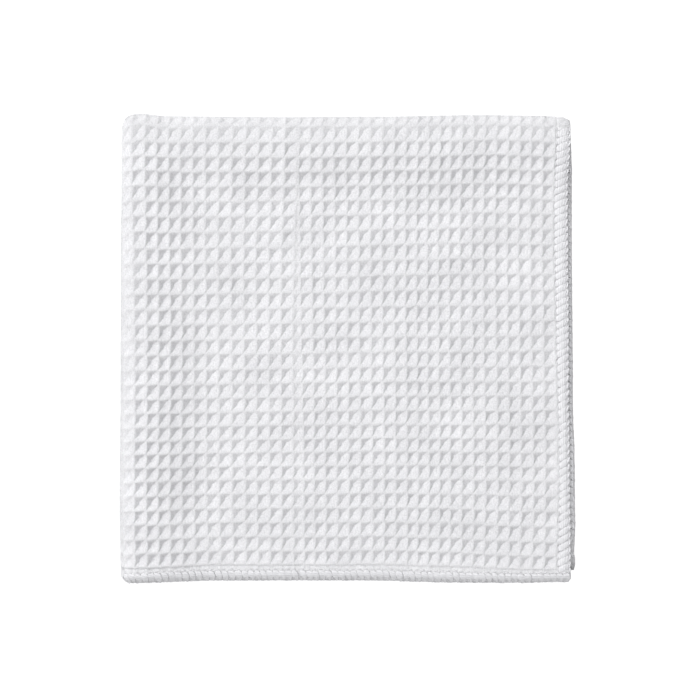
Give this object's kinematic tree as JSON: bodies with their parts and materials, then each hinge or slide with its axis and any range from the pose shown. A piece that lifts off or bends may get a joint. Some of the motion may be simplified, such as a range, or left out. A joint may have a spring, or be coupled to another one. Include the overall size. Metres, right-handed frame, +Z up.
{
  "type": "folded waffle towel",
  "caption": "White waffle-weave cotton dish towel folded in quarters, with overlocked hems on its two open sides.",
  "frame": {"origin": "centre of the folded towel's footprint, on the surface it lies on", "axes": "+Z up through the layers, +Y from the open hem towards the first fold, +X from the second fold towards the open side hem"},
  "size_m": [0.1526, 0.1564, 0.0131],
  "materials": {
    "cloth": "matt white cotton waffle weave with white overlocked hems"
  },
  "bodies": {
    "root": {"waffle_towel": "cloth"}
  },
  "joints": []
}
